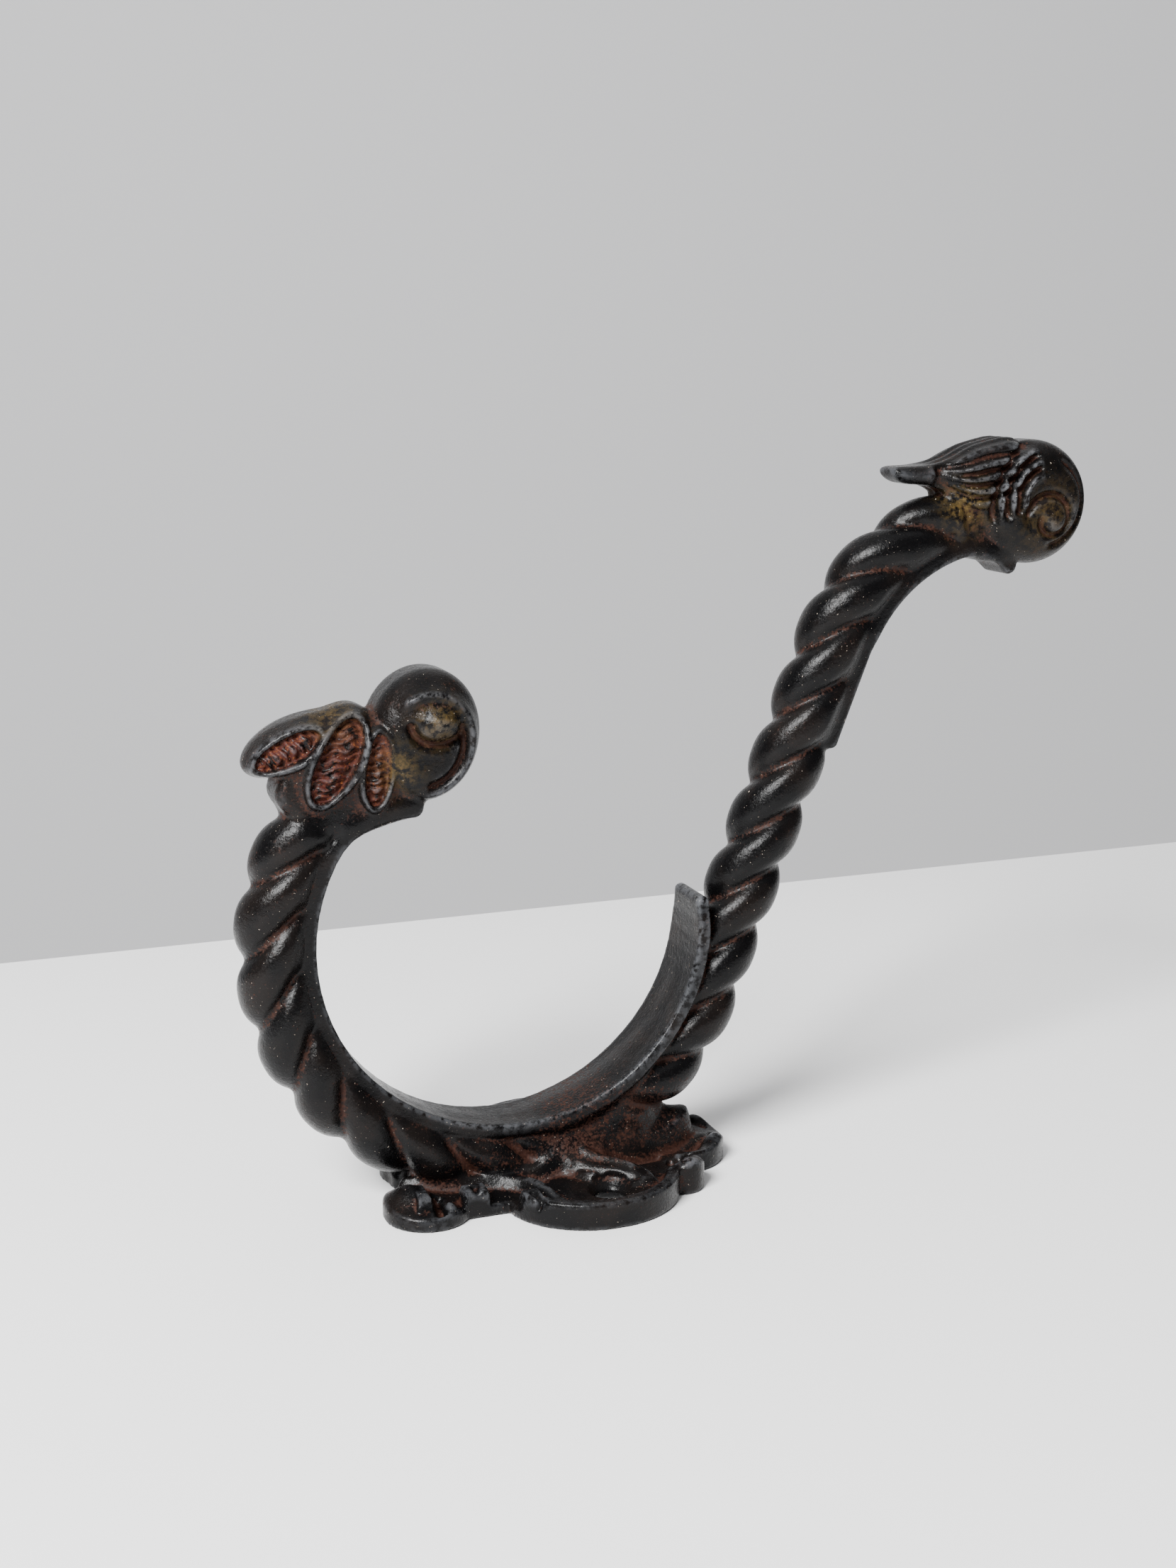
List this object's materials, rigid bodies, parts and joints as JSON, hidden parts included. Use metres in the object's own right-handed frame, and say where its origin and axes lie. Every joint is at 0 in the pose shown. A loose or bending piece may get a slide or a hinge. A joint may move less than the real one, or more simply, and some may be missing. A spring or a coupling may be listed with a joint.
{
  "type": "hat and coat hook",
  "caption": "Cast-iron wall hook: a leafy back plate with a curled lower hook and a long upper hook, both rope-twist arms ending in scrolls.",
  "frame": {"origin": "centre of the back plate's wall face, in the middle plane of the arms", "axes": "+Z points away from the wall; +X points from the lower hook towards the upper hook, and is up on a wall; +Y runs across the hook, which is the same on both sides of y = 0 apart from its rope twist"},
  "size_m": [0.1512, 0.0486, 0.1227],
  "materials": {
    "plate_iron": "worn black paint over brown rust, satin, grainy in the hollows",
    "rope_iron": "worn gloss-black paint on cast iron, brown rust in the grooves",
    "saddle_iron": "smooth worn black paint, rubbed to bare metal along its edges",
    "scroll_iron": "dull black-brown paint, rough, with ochre dirt in the creases",
    "neck_iron": "bare rusty iron with ochre and greenish dirt",
    "leaf_iron": "worn black paint with red-orange rust in its ribbed pockets"
  },
  "bodies": {
    "root": {"back_plate": "plate_iron", "root_boss": "plate_iron", "lower_rope": "rope_iron", "upper_rope": "rope_iron", "lower_saddle": "saddle_iron", "upper_saddle": "saddle_iron", "lower_scroll": "scroll_iron", "lower_scroll_eyes": "scroll_iron", "upper_scroll": "scroll_iron", "upper_scroll_eyes": "scroll_iron", "lower_neck": "neck_iron", "upper_neck": "neck_iron", "lower_leaf": "leaf_iron", "upper_leaf": "leaf_iron"}
  },
  "joints": []
}
